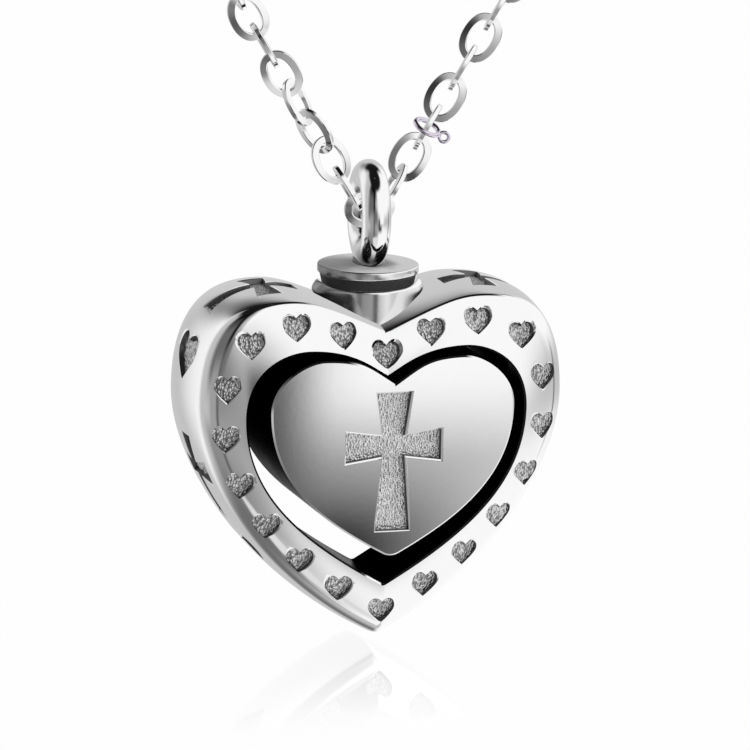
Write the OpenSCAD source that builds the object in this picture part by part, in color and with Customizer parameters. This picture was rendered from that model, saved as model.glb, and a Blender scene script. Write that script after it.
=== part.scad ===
// Keepsake urn pendant: an open heart frame with a smaller heart inside it,
// a threaded neck with a rubber gasket, a screw cap with an upright bail ring,
// and the chain loop that carries it. Millimetres, origin at the top of the loop.

/* [Heart frame] */
// width of the frame over its lobes
frame_w = 21.76; // [19:0.1:26]
// height of the lobe tops above the cleft
lobe_rise = 1.97; // [1.4:0.05:2.6]
// drop from the cleft to the tip
tip_drop = 18; // [16:0.1:22]
// depth of the outer wall, front to back
wall_depth = 7.4; // [6.6:0.1:9]
// barrel bulge of the outer wall
wall_bulge = 0.4; // [0:0.05:0.7]
// rise of the front face towards the opening
face_rise = 0.7; // [0.3:0.05:1.2]
// dish of the back face towards the opening
back_dish = 1.6; // [0.4:0.1:1.8]
// width of the opening
open_w = 16.84; // [15:0.1:17.4]
// drop from the cleft of the frame to the cleft of the opening
web = 2.57; // [2.2:0.05:3.2]
// height of the lobe tops of the opening above its cleft
open_rise = 1.62; // [1.3:0.05:2.2]
// thickness of the band at the tip
tip_band = 3.1; // [2:0.1:4]
// reach down of the web that joins the hearts behind, from the cleft
web_reach = 3.7; // [2.8:0.1:5]
// edge radius at the sides and the tip
soft_edge = 0.9; // [0.4:0.05:1.2]
// edge radius along the lobe tops
crisp_edge = 0.14; // [0.05:0.01:0.4]

/* [Marks in the frame] */
// width of a small heart in the front face
front_heart_w = 1.72; // [1.2:0.02:2]
// width of a heart in the side wall
side_heart_w = 3.4; // [2.4:0.1:4]
// length of a cross in the side wall
side_cross_l = 5.2; // [4:0.1:6.4]
// depth of every mark
mark_depth = 0.33; // [0.15:0.01:0.5]

/* [Inner heart] */
// width of the inner heart
heart_w = 14.74; // [13:0.1:15.4]
// height of its lobe tops above its cleft
heart_rise = 1.5; // [1:0.05:1.9]
// height of the inner heart from its cleft to its tip
heart_drop = 10.24; // [8.4:0.1:11.2]
// distance its front edge stands ahead of the edge of the wall
heart_ahead = 2; // [1:0.1:2.6]
// radius of the domed face
dome_r = 91; // [60:1:200]
// wall of the keepsake chamber
chamber_wall = 0.8; // [0.6:0.05:1.2]
// length of the cross in its face
cross_l = 8.27; // [6.6:0.1:9]
// span of the arms of that cross
cross_w = 5.84; // [4.6:0.1:7]

/* [Neck, gasket and cap] */
// radius of the neck
neck_r = 2.7; // [2.5:0.05:3]
// height of the neck above the cleft
neck_h = 2.14; // [1.9:0.05:3]
// radius of the spigot below the neck
spigot_r = 2.05; // [1.95:0.01:2.3]
// height of the gasket
gasket_h = 0.66; // [0.4:0.02:1]
// radius of the disc
disc_r = 2.97; // [2.7:0.01:3.4]
// thickness of the disc
disc_h = 0.48; // [0.3:0.02:0.8]
// radius of the threaded bore
bore_r = 1.6; // [1.4:0.01:1.65]
// length of the shank below the disc
shank_l = 3.04; // [2:0.02:3.4]
// mean radius of the bail ring
bail_r = 2.34; // [2.3:0.01:2.7]
// radius of the wire of the bail ring
bail_wire = 0.85; // [0.6:0.01:0.9]
// depth the bail ring is sunk in the disc
bail_sunk = 0.24; // [0.1:0.02:0.4]
// turn of the bail ring about the upright line
bail_turn = -6; // [-8:0.5:8]

/* [Chain] */
// length of the chain with its clasp
chain_l = 500; // [400:10:600]
// angle of each strand to the upright line
strand_angle = 31; // [28:0.5:34]
// length of a link
link_l = 3; // [2.8:0.02:3.2]
// width of a link
link_w = 2.2; // [2.1:0.01:2.4]
// width of the flat wire
wire_w = 0.4; // [0.34:0.01:0.44]
// thickness of the flat wire
wire_t = 0.3; // [0.22:0.01:0.36]
// twist of the left strand in degrees, link by link, until it stays at the last value
left_twist = [-3, 14, 32, 50, 68, 84, 90];
// twist of the right strand in degrees, likewise
right_twist = [-5, -12, -20];
// distance of the first link's end wire from the middle of the loop
end_x = 0.68; // [0.6:0.01:0.7]
// its height above the middle of the bottom link
end_rise = 0.15; // [0.12:0.01:0.2]
// half length kept for the clasp at the top
clasp_half = 6.6; // [4.5:0.1:9]
// radius of the barrel of the clasp
clasp_r = 1.6; // [1.2:0.05:2.2]

/* [Charm ring] */
// outer diameter of the ring
charm_d = 1.8; // [1.6:0.02:2.2]
// radius of its wire
charm_wire = 0.15; // [0.1:0.01:0.2]
// outer diameter of its eye
charm_eye_d = 0.78; // [0.6:0.02:1]

/* [Clearances] */
// gap between the neck and its seat in the frame
seat_gap = 0.03; // [0.02:0.01:0.08]
// radial gap between shank and bore
thread_gap = 0.05; // [0.02:0.01:0.1]
// gap above and below the gasket
gasket_gap = 0.02; // [0.01:0.01:0.05]
// gap between one link and the next
link_gap = 0.18; // [0.14:0.01:0.24]
// gap between the bail ring and the link it hangs on
bail_gap = 0.1; // [0.05:0.01:0.15]

/* [Hidden] */
n_a = 14;
n_b = 14;
n_c = 20;
n_d = 3;
wall_half = wall_depth / 2;
seat_depth = 0.6;

// shapes of the three hearts: place of the lobe top and of the widest point, slopes in degrees
// at cleft and tip, and the lengths of the curve handles, all as shares of width and height
frame_shape = [0.537, 0.303, 24.7, 26.7, 0.368, 0.126, 0.58, 0.78, 0.240, 0.3325];
open_shape = [0.559, 0.268, 33, 29.8, 0.114, 0.321, 0.458, 0.702, 0.324, 0.3975];
heart_shape = [0.5655, 0.256, 33, 29, 0.2417, 0.303, 0.383, 0.594, 0.3836, 0.3138];

function bez(a, b, c, d, t) = pow(1 - t, 3) * a + 3 * pow(1 - t, 2) * t * b + 3 * (1 - t) * t * t * c + t * t * t * d;

// right half of a heart, from its cleft to its tip
function half_heart(w, cleft, top, tip, k, r) =
  let (h = top - tip)
  let (a = [0, cleft])
  let (b = [k[0] * w, top])
  let (c = [w, top - k[1] * h])
  let (d = [r * sin(k[3]), tip + r * (1 - cos(k[3]))])
  let (a1 = a + k[4] * w * [cos(k[2]), sin(k[2])])
  let (b0 = b - [k[5] * w, 0])
  let (b1 = b + [k[6] * (c[0] - b[0]), 0])
  let (c0 = c + [0, k[7] * (b[1] - c[1])])
  let (c1 = c - [0, k[8] * h])
  let (d0 = d + k[9] * h * [cos(k[3]), sin(k[3])])
  concat(
    [for (i = [0 : n_a - 1]) bez(a, a1, b0, b, i / n_a)],
    [for (i = [0 : n_b - 1]) bez(b, b1, c0, c, i / n_b)],
    [for (i = [0 : n_c - 1]) bez(c, c1, d0, d, i / n_c)],
    [for (i = [0 : n_d]) [r * sin(k[3] * (1 - i / n_d)), tip + r * (1 - cos(k[3] * (1 - i / n_d)))]]
  );

// whole heart from its right half
function whole(p) = concat(p, [for (i = [len(p) - 2 : -1 : 1]) [-p[i][0], p[i][1]]]);

frame_half = half_heart(frame_w / 2, 0, lobe_rise, -tip_drop, frame_shape, 0.023 * frame_w);
open_top = -web + open_rise;
open_half = half_heart(open_w / 2, -web, open_top, -tip_drop + tip_band, open_shape, 0.018 * open_w);
heart_cleft = -web - 3 * seat_gap;
heart_top = heart_cleft + heart_rise;
heart_half = half_heart(heart_w / 2, heart_cleft, heart_top, heart_cleft - heart_drop, heart_shape, 0.068 * heart_w);
outer = whole(frame_half);
inner = whole(open_half);
band_half = [for (i = [0 : len(frame_half) - 1]) (frame_half[i] + open_half[i]) / 2];

function arc_at(p, n) = n == 0 ? 0 : arc_at(p, n - 1) + norm(p[n] - p[n - 1]);
frame_arc = [for (i = [0 : len(frame_half) - 1]) arc_at(frame_half, i)];
band_arc = [for (i = [0 : len(band_half) - 1]) arc_at(band_half, i)];
frame_len = frame_arc[len(frame_arc) - 1];
band_len = band_arc[len(band_arc) - 1];

function along(p, arc, s) = [
  lookup(s, [for (i = [0 : len(p) - 1]) [arc[i], p[i][0]]]),
  lookup(s, [for (i = [0 : len(p) - 1]) [arc[i], p[i][1]]])
];

// edge radius: crisp from the cleft over the lobe tops, soft at the sides and the tip
function edge_at(i) =
  let (j = i < len(frame_half) ? i : len(outer) - i)
  let (t = min(1, max(0, (j - n_a) / (n_b * 0.7))))
  crisp_edge + (soft_edge - crisp_edge) * t * t * (3 - 2 * t);

function bulge(y) = wall_bulge * (1 - pow(y / wall_half, 2));

// one section of the frame: distance from the outer edge inward, and depth;
// the front and the outer wall lie deeper by c
function section(w, r, c) = concat(
  [for (a = [0 : 30 : 90]) [c + r - r * sin(a), c - wall_half + r - r * cos(a)]],
  [for (k = [-0.5, 0, 0.5]) [c - bulge(k * (wall_half - r)), k * (wall_half - r)]],
  [for (a = [90 : -30 : 0]) [c + r - r * sin(a), wall_half - r + r * cos(a)]],
  [
    [0.5 * w, wall_half - 0.6 * back_dish],
    [w, wall_half - back_dish],
    [w, c - wall_half - face_rise + 0.1],
    [w - 0.1, c - wall_half - face_rise],
    [0.66 * w, c - wall_half - 0.76 * face_rise],
    [0.33 * w, c - wall_half - 0.42 * face_rise]
  ]
);

function ring_point(i, q) =
  let (p = outer[i])
  let (d = (inner[i] - p) / norm(inner[i] - p))
  [p[0] + d[0] * q[0], q[1], p[1] + d[1] * q[0]];

module ring_body(c) {
  n = len(outer);
  m = len(section(3, 0.5, 0));
  points = [for (i = [0 : n - 1]) for (q = section(norm(inner[i] - outer[i]), edge_at(i), c)) ring_point(i, q)];
  faces = [for (i = [0 : n - 1]) for (j = [0 : m - 1]) for (s = [0, 1])
    let (a = i * m + j)
    let (b = i * m + (j + 1) % m)
    let (c = ((i + 1) % n) * m + (j + 1) % m)
    let (d = ((i + 1) % n) * m + j)
    s == 0 ? [a, b, c] : [a, c, d]];
  polyhedron(points, faces, convexity = 8);
}

// flat heart centred on its middle
module flat_heart(w, h) {
  r = 0.26 * w;
  for (s = [-1, 1]) {
    hull() {
      translate([s * (w / 2 - r), h / 2 - r]) circle(r, $fn = 14);
      translate([0, 0.06 - h / 2]) circle(0.06, $fn = 8);
    }
  }
}

// flared cross with its crossing at the middle: length, arm span, share of the length above
module flat_cross(l, w, up) {
  n = 0.115 * w;
  e = 0.18 * w;
  v = 0.11 * w;
  polygon([
    [-e, up * l], [e, up * l], [n, v], [w / 2, e], [w / 2, -e], [n, -v],
    [e, -(1 - up) * l], [-e, -(1 - up) * l], [-n, -v], [-w / 2, -e], [-w / 2, e], [-n, v]
  ]);
}

// small hearts evenly spaced on the middle of the front face
module front_hearts() {
  for (k = [0 : 10]) {
    for (side = (k == 0 || k == 10) ? [1] : [-1, 1]) {
      p = along(band_half, band_arc, band_len * k / 10);
      d = k == 0 ? [0, 1] : (k == 10 ? [0, -1] : out_dir(k));
      translate([side * p[0], -wall_half - 0.6 * face_rise, p[1]])
        rotate(a = atan(face_rise / web), v = [-d[1], 0, side * d[0]])
        rotate([90, 0, 0])
        translate([0, 0, -mark_depth])
        linear_extrude(height = 5 * mark_depth)
        flat_heart(front_heart_w, 0.94 * front_heart_w);
    }
  }
}

// outward direction of the band at heart number k
function out_dir(k) =
  let (s = band_len * k / 10)
  let (t = along(band_half, band_arc, min(band_len, s + 0.3)) - along(band_half, band_arc, max(0, s - 0.3)))
  [-t[1], t[0]] / norm(t);

// stands a flat shape on the outer wall, its top towards the cleft
module on_wall(side, s) {
  p = along(frame_half, frame_arc, s);
  t0 = along(frame_half, frame_arc, s + 0.4) - along(frame_half, frame_arc, s - 0.4);
  t = t0 / norm(t0);
  multmatrix([
    [0, -side * t[0], -side * t[1], side * p[0]],
    [side, 0, 0, 0],
    [0, -t[1], t[0], p[1]],
    [0, 0, 0, 1]
  ])
    children();
}

module wall_marks() {
  for (side = [-1, 1]) {
    for (s = [0.205, 0.582]) {
      on_wall(side, s * frame_len) wall_cross();
    }
    for (s = [0.385, 0.76]) {
      on_wall(side, s * frame_len) wall_heart();
    }
  }
}

module wall_heart() {
  translate([0, 0, -4 * mark_depth])
    linear_extrude(height = 8 * mark_depth)
    flat_heart(side_heart_w, 0.78 * side_heart_w);
}

module wall_cross() {
  translate([0, 0, -4 * mark_depth])
    linear_extrude(height = 8 * mark_depth)
    flat_cross(side_cross_l, 0.8 * side_cross_l, 0.4);
}

// solder fillet between neck and lobes, on both sides only, up past the foot of the gasket
module neck_fillet() {
  r = neck_r;
  h = neck_h;
  intersection() {
    rotate_extrude($fn = 48)
      polygon([
        [0.92 * r, 0.1 * h], [1.7 * r, 0.5 * h], [1.58 * r, 0.9 * h], [1.34 * r, 0.99 * h],
        [1.22 * r, 1.08 * h], [1.16 * r, 1.17 * h], [1.08 * r, 1.17 * h], [1.08 * r, 0.97 * h], [0.92 * r, 0.97 * h]
      ]);
    cube([6 * r, 1.15 * r, 6 * h], center = true);
  }
}

// ledge round the lobe tops of the opening, behind the gap between the two hearts
module joint_web() {
  translate([0, heart_back - 0.04 * wall_depth, 0])
    rotate([90, 0, 0])
    linear_extrude(height = 0.3 * wall_depth)
    intersection() {
      difference() {
        polygon([for (i = [0 : len(inner) - 1]) 0.8 * inner[i] + 0.2 * outer[i]]);
        offset(delta = 1.6 * seat_gap) polygon(whole(heart_half));
      }
      translate([-frame_w / 2, -web_reach]) square([frame_w, 2 * web_reach]);
    }
}

module heart_frame() {
  color("silver")
    translate([0, 0, cleft_z])
    difference() {
      union() {
        ring_body(0);
        neck_fillet();
        joint_web();
      }
      translate([0, 0, -seat_depth]) cylinder(r = neck_r + seat_gap, h = 2 * neck_h, $fn = 64);
      translate([0, 0, -2 * web]) cylinder(r = spigot_r + seat_gap, h = 2 * web, $fn = 64);
      front_hearts();
      difference() {
        wall_marks();
        ring_body(mark_depth);
      }
    }
}

// prism of a heart outline between two depths
module slab(p, front, back) {
  translate([0, back, 0])
    rotate([90, 0, 0])
    linear_extrude(height = back - front)
    polygon(p);
}

heart_front = -wall_half - heart_ahead;
heart_back = wall_half - back_dish;
heart_mid = heart_cleft - 0.36 * heart_drop;
dome_top = dome_r - sqrt(dome_r * dome_r - pow(heart_w / 2, 2));
chamber_half = half_heart(
  heart_w / 2 - chamber_wall, heart_cleft - 1.2 * chamber_wall, heart_top - chamber_wall,
  heart_cleft - heart_drop + 1.5 * chamber_wall, heart_shape, 0.6
);

module inner_heart() {
  color("gainsboro")
    translate([0, 0, cleft_z])
    difference() {
      union() {
        intersection() {
          slab(whole(heart_half), heart_front - 2, heart_back);
          translate([0, heart_front - dome_top + dome_r, heart_mid]) sphere(r = dome_r, $fn = 200);
        }
        translate([0, 0, heart_cleft - 0.9]) cylinder(r = spigot_r, h = 0.9 - heart_cleft, $fn = 64);
        translate([0, 0, -seat_depth + seat_gap]) cylinder(r = neck_r, h = neck_h + seat_depth - seat_gap, $fn = 64);
      }
      translate([0, 0, heart_cleft - 2.2 * chamber_wall]) cylinder(r = bore_r, h = 3 * neck_h - heart_cleft, $fn = 64);
      slab(whole(chamber_half), heart_front + chamber_wall, heart_back - chamber_wall);
      translate([0, heart_front + mark_depth - 0.5 * dome_top, heart_mid])
        rotate([90, 0, 0])
        linear_extrude(height = 9 * mark_depth)
        face_cross();
    }
}

// the flared cross of the inner heart
module face_cross() {
  up = 0.386 * cross_l;
  down = 0.614 * cross_l;
  n = 0.116 * cross_w;
  e = 0.18 * cross_w;
  v = 0.105 * cross_w;
  f = 0.16 * cross_w;
  polygon([
    [-e, up], [e, up], [n, v], [cross_w / 2, f], [cross_w / 2, -f], [n, -v],
    [e, -down], [-e, -down], [-n, -v], [-cross_w / 2, -f], [-cross_w / 2, f], [-n, v]
  ]);
}

disc_z = neck_h + gasket_h + 2 * gasket_gap;
bail_up = disc_z + disc_h - bail_sunk + bail_r + bail_wire;

module gasket() {
  color("dimgray")
    translate([0, 0, cleft_z + neck_h + gasket_gap])
    rotate_extrude($fn = 64)
    polygon([
      [bore_r + 0.02, 0], [neck_r - 0.03, 0], [disc_r - 0.14, 0.8 * gasket_h],
      [disc_r - 0.14, gasket_h], [bore_r + 0.02, gasket_h]
    ]);
}

module screw_cap() {
  color("silver")
    translate([0, 0, cleft_z])
    union() {
      translate([0, 0, disc_z]) cylinder(r = disc_r, h = disc_h, $fn = 64);
      translate([0, 0, disc_z - shank_l]) cylinder(r = bore_r - thread_gap, h = shank_l + disc_h / 2, $fn = 64);
      translate([0, 0, bail_up])
        rotate([0, 0, bail_turn])
        rotate([0, 90, 0])
        rotate_extrude($fn = 64)
        translate([bail_r, 0])
        circle(bail_wire, $fn = 48);
    }
}

// run of the chain: place of the first link's end wire beside the middle link, seen from the bail
pitch = link_l - 2 * wire_w - link_gap;
apex_z = bail_r - bail_wire - bail_gap - link_w / 2;
end_z = apex_z + end_rise;
start = end_x / sin(strand_angle);
first_s = start + link_l / 2 - wire_w / 2;
tan_share = 1 / tan(strand_angle) + (90 + strand_angle) * PI / 180;
loop_r = (chain_l / 2 + start) / tan_share;
apex_drop = loop_r * (1 + 1 / sin(strand_angle));
v_z = -apex_drop;
bail_z = v_z + end_x / tan(strand_angle) - end_z;
cleft_z = bail_z - bail_up;
straight_l = loop_r / tan(strand_angle);
side_l = loop_r * tan_share;
side_n = floor((side_l - clasp_half - first_s) / pitch) + 1;

// angle off the upright line at distance s from the bottom of the run
function lean(s) = s < straight_l ? strand_angle : strand_angle - (s - straight_l) / loop_r * 180 / PI;
function run_x(s) = s < straight_l ? s * sin(strand_angle) : loop_r * cos(lean(s));
function run_z(s) = s < straight_l ? v_z + s * cos(strand_angle) : -loop_r - loop_r * sin(lean(s));
function value(list, i) = list[min(i, len(list)) - 1];
function roll(side, i) = value(side > 0 ? right_twist : left_twist, i) + (i % 2 == 1 ? 0 : 90);

module on_run(side, s, turn) {
  translate([side * run_x(s), 0, run_z(s)])
    rotate([0, side * lean(s) - 90, 0])
    rotate([turn, 0, 0])
    children();
}

module stadium(l, w) {
  square([l - w, w], center = true);
  for (s = [-1, 1]) {
    translate([s * (l - w) / 2, 0]) circle(w / 2, $fn = 32);
  }
}

module link() {
  translate([0, 0, -wire_t / 2])
    linear_extrude(height = wire_t)
    difference() {
      stadium(link_l, link_w);
      stadium(link_l - 2 * wire_w, link_w - 2 * wire_w);
    }
}

module chain() {
  color("lightgray") {
    translate([0, 0, bail_z + apex_z]) rotate([90, 0, 0]) link();
    for (side = [-1, 1]) {
      for (i = [1 : side_n]) {
        on_run(side, first_s + (i - 1) * pitch, roll(side, i)) link();
      }
    }
  }
}

// the charm ring goes round the front wire of the third link on the right
module charm_ring() {
  mean = charm_d / 2 - charm_wire;
  eye = charm_eye_d / 2 - 0.11;
  color("thistle")
    on_run(1, first_s + 2 * pitch, roll(1, 3))
    translate([0, -(link_w - wire_w) / 2 - 0.05, 0]) {
      rotate([0, 90, 0])
        rotate_extrude($fn = 48)
        translate([mean, 0])
        circle(charm_wire, $fn = 24);
      translate([0, 0, -mean - eye - 0.1])
        rotate([0, 90, 0])
        rotate_extrude($fn = 32)
        translate([eye, 0])
        circle(0.11, $fn = 20);
    }
}

// plain barrel clasp with an eye at each end, at the top of the loop
eye_r = 0.95;
eye_wire = 0.28;
last_s = first_s + (side_n - 1) * pitch;
eye_s = last_s + link_l / 2 - wire_w - link_gap - eye_wire + eye_r;

module clasp() {
  half = run_x(eye_s) - eye_r + 0.1;
  color("silver") {
    translate([0, 0, run_z(eye_s)])
      rotate([0, 90, 0])
      cylinder(r = clasp_r, h = 2 * half, center = true, $fn = 48);
    for (side = [-1, 1]) {
      translate([side * (half - 0.6), 0, run_z(eye_s)])
        rotate([0, 90, 0])
        cylinder(r = clasp_r + 0.2, h = 0.8, center = true, $fn = 48);
      translate([side * run_x(eye_s), 0, run_z(eye_s)])
        rotate([roll(side, side_n) + 90, 0, 0])
        rotate_extrude($fn = 48)
        translate([eye_r, 0])
        circle(eye_wire, $fn = 24);
    }
  }
}

heart_frame();
inner_heart();
gasket();
screw_cap();
chain();
charm_ring();
clasp();
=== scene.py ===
import bpy
import bmesh
import math
from mathutils import Matrix, Quaternion, Vector


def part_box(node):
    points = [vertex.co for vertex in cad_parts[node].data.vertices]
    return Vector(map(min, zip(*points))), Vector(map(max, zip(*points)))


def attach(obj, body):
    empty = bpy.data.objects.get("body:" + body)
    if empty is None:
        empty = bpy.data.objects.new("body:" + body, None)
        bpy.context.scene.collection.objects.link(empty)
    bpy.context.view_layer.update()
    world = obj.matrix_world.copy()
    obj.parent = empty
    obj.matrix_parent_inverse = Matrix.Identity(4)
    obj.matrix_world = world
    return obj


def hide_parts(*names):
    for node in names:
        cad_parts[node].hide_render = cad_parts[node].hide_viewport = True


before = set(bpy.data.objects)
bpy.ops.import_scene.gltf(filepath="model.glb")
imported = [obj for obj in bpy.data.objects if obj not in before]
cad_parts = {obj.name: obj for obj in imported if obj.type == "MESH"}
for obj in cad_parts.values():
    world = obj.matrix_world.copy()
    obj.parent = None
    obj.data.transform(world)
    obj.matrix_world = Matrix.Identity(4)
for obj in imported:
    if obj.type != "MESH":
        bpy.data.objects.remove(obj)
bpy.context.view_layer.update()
mm = 0.001

# heights in mm that every piece shares: the bail's top above its middle, and its middle above the cleft
heights = {"bailTop": 3.19, "bail": 6.27}
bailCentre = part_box("screw_cap")[1][2] - heights["bailTop"] * mm
cleft = bailCentre - heights["bail"] * mm              # bottom of the outer cleft
print("cleft at", round(cleft / mm, 2), "mm")

# camera first, so that every piece is set against the same view
cameraSettings = {
    "azimuth": -17.2, "elevation": 12.4, "roll": 1.26,
    "distance": 600.0, "field": 43.605,          # mm
    "aim": (-0.599, -2.517),                     # mm right of and above the front of the cleft
}


def directionAt(azimuth, elevation):
    # from the pendant to a place at these angles in degrees; azimuth 0 is the front
    a, e = math.radians(azimuth), math.radians(elevation)
    return Vector((math.sin(a) * math.cos(e), -math.cos(a) * math.cos(e), math.sin(e)))


def placeCamera(c):
    back = directionAt(c["azimuth"], c["elevation"])
    turn = (-back).to_track_quat("-Z", "Y") @ Quaternion((0, 0, 1), math.radians(c["roll"]))
    right, up = turn @ Vector((1, 0, 0)), turn @ Vector((0, 1, 0))
    aim = Vector((0, -3.7 * mm, cleft)) + (right * c["aim"][0] + up * c["aim"][1]) * mm
    data = bpy.data.cameras.new("photoCamera")
    data.sensor_width = 36
    data.lens = 36 * c["distance"] / c["field"]
    data.clip_start, data.clip_end = 0.05, 20
    camera = bpy.data.objects.new("photoCamera", data)
    bpy.context.scene.collection.objects.link(camera)
    camera.location = aim + back * c["distance"] * mm
    camera.rotation_mode = "QUATERNION"
    camera.rotation_quaternion = turn
    bpy.context.scene.camera = camera


placeCamera(cameraSettings)
print("camera placed")


def newNodes(owner):
    owner.use_nodes = True
    tree = owner.node_tree
    tree.nodes.clear()
    return tree


def addNode(tree, kind, at=(0, 0), **settings):
    node = tree.nodes.new(kind)
    node.location = at
    for key, value in settings.items():
        setattr(node, key, value)
    return node


def addMath(tree, operation, a, b=None, c=None):
    # each of a, b and c is a number or the output of another node
    node = addNode(tree, "ShaderNodeMath", operation=operation)
    for socket, value in zip(node.inputs, (a, b, c)):
        if isinstance(value, (int, float)):
            socket.default_value = value
        elif value is not None:
            tree.links.new(value, socket)
    return node.outputs[0]


def addRange(tree, at, value, reach, result=(0, 1), kind="LINEAR"):
    # carries the two ends of a reach over to two results
    node = addNode(tree, "ShaderNodeMapRange", at, interpolation_type=kind)
    for key, end in zip(("From Min", "From Max", "To Min", "To Max"), (*reach, *result)):
        node.inputs[key].default_value = end
    tree.links.new(value, node.inputs["Value"])
    return node.outputs["Result"]


def addNoise(tree, at, vector, scale, detail):
    noise = addNode(tree, "ShaderNodeTexNoise", at)
    noise.inputs["Scale"].default_value = scale
    noise.inputs["Detail"].default_value = detail
    tree.links.new(vector, noise.inputs["Vector"])
    return noise.outputs["Fac"]


def addBump(tree, shader, height, strength, distance, invert=False):
    bump = addNode(tree, "ShaderNodeBump", (200, -250), invert=invert)
    bump.inputs["Strength"].default_value = strength
    bump.inputs["Distance"].default_value = distance
    tree.links.new(height, bump.inputs["Height"])
    tree.links.new(bump.outputs["Normal"], shader.inputs["Normal"])


def addRamp(tree, shader, value, stops):
    # base colour from two stops, each with its position and its red, green and blue
    tone = addNode(tree, "ShaderNodeValToRGB", (-200, 200))
    for element, (position, color) in zip(tone.color_ramp.elements, stops):
        element.position = position
        element.color = (*color, 1)
    tree.links.new(value, tone.inputs["Fac"])
    tree.links.new(tone.outputs["Color"], shader.inputs["Base Color"])


def newMaterial(name, metallic):
    material = bpy.data.materials.new(name)
    tree = newNodes(material)
    out = addNode(tree, "ShaderNodeOutputMaterial", (900, 0))
    shader = addNode(tree, "ShaderNodeBsdfPrincipled", (600, 0))
    shader.inputs["Metallic"].default_value = metallic
    tree.links.new(shader.outputs[0], out.inputs[0])
    place = addNode(tree, "ShaderNodeTexCoord", (-1200, 0)).outputs["Object"]
    return material, tree, shader, place


def steelMaterial(name, color, rough, grain=0.0, smudge=0.02, dull=0.0, edge=1.0):
    # polished metal: soft wipe marks in the roughness, fine polishing lines in the bump;
    # edge is how bright it is at a glancing view
    material, tree, shader, place = newMaterial(name, 1.0)
    shader.inputs["Specular Tint"].default_value = (edge, edge, edge, 1)
    cloud = addNoise(tree, (-600, 100), place, 260, 4)
    wipe = addRange(tree, (-300, 100), cloud, (0.35, 0.7), (rough, rough + smudge))
    tree.links.new(wipe, shader.inputs["Roughness"])
    tone = addNode(tree, "ShaderNodeMix", (-300, 350), data_type="RGBA")
    tone.inputs["A"].default_value = (*color, 1)
    tone.inputs["B"].default_value = (*[v * (0.96 - dull) for v in color], 1)
    tree.links.new(cloud, tone.inputs["Factor"])
    tree.links.new(tone.outputs["Result"], shader.inputs["Base Color"])
    addBump(tree, shader, addNoise(tree, (-600, -250), place, 3000, 3), 0.05 + grain, 0.00001)
    return material


def addPaintedShadeAndStain(material, centre, full, reach, strength, ragged=1.2):
    # painted shade with a ragged border round one place, given in mm from the bottom of the cleft; on the disc it is
    # partly a stain from the soldering
    tree = material.node_tree
    shader = next(n for n in tree.nodes if n.type == "BSDF_PRINCIPLED")
    color = shader.inputs["Base Color"].links[0].from_socket
    place = addNode(tree, "ShaderNodeTexCoord", (-900, 700)).outputs["Object"]
    away = addNode(tree, "ShaderNodeVectorMath", (-700, 700), operation="DISTANCE")
    away.inputs[1].default_value = Vector(centre) * mm + Vector((0, 0, cleft))
    tree.links.new(place, away.inputs[0])
    rag = addNoise(tree, (-700, 900), place, 900, 4)
    wander = addMath(tree, "MULTIPLY_ADD", rag, ragged * mm, away.outputs["Value"])
    ends = ((reach + ragged / 2) * mm, (full + ragged / 2) * mm)
    fall = addRange(tree, (-300, 800), wander, ends, (0, strength), "SMOOTHSTEP")
    # mixes the painted shade into the base colour, down to near black
    shadeMix = addNode(tree, "ShaderNodeMix", (300, 600), data_type="RGBA")
    shadeMix.inputs["B"].default_value = (0.035, 0.035, 0.037, 1)
    tree.links.new(fall, shadeMix.inputs["Factor"])
    tree.links.new(color, shadeMix.inputs["A"])
    tree.links.new(shadeMix.outputs["Result"], shader.inputs["Base Color"])


def blastedMaterial(name, light, dark, scale):
    # floor of the marks: packed grains, light on their crowns and dark between
    material, tree, shader, place = newMaterial(name, 1.0)
    shader.inputs["Roughness"].default_value = 0.33
    stretch = addNode(tree, "ShaderNodeMapping", (-1000, 0))
    stretch.inputs["Scale"].default_value = (1, 1, 0.75)
    tree.links.new(place, stretch.inputs["Vector"])
    grains = addNode(tree, "ShaderNodeTexVoronoi", (-800, 100), feature="SMOOTH_F1")
    grains.inputs["Scale"].default_value = scale
    grains.inputs["Smoothness"].default_value = 0.35
    tree.links.new(stretch.outputs["Vector"], grains.inputs["Vector"])
    height = addNode(tree, "ShaderNodeMix", (-500, 0), data_type="FLOAT")
    height.inputs["Factor"].default_value = 0.45
    tree.links.new(grains.outputs["Distance"], height.inputs["A"])
    tree.links.new(addNoise(tree, (-800, -250), stretch.outputs["Vector"], 4200, 2), height.inputs["B"])
    addRamp(tree, shader, height.outputs["Result"], ((0.28, (light,) * 3), (0.62, (dark,) * 3)))
    addBump(tree, shader, height.outputs["Result"], 0.9, 0.00012, True)
    return material


def rubberMaterial(name):
    material, tree, shader, place = newMaterial(name, 0.0)
    speck = addNoise(tree, (-600, 0), place, 5000, 5)
    addRamp(tree, shader, speck, ((0, (0.008, 0.008, 0.009)), (1, (0.03, 0.03, 0.032))))
    rough = addRange(tree, (-300, -100), speck, (0, 1), (0.5, 0.72))
    tree.links.new(rough, shader.inputs["Roughness"])
    addBump(tree, shader, speck, 0.3, 0.00002)
    return material


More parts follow.
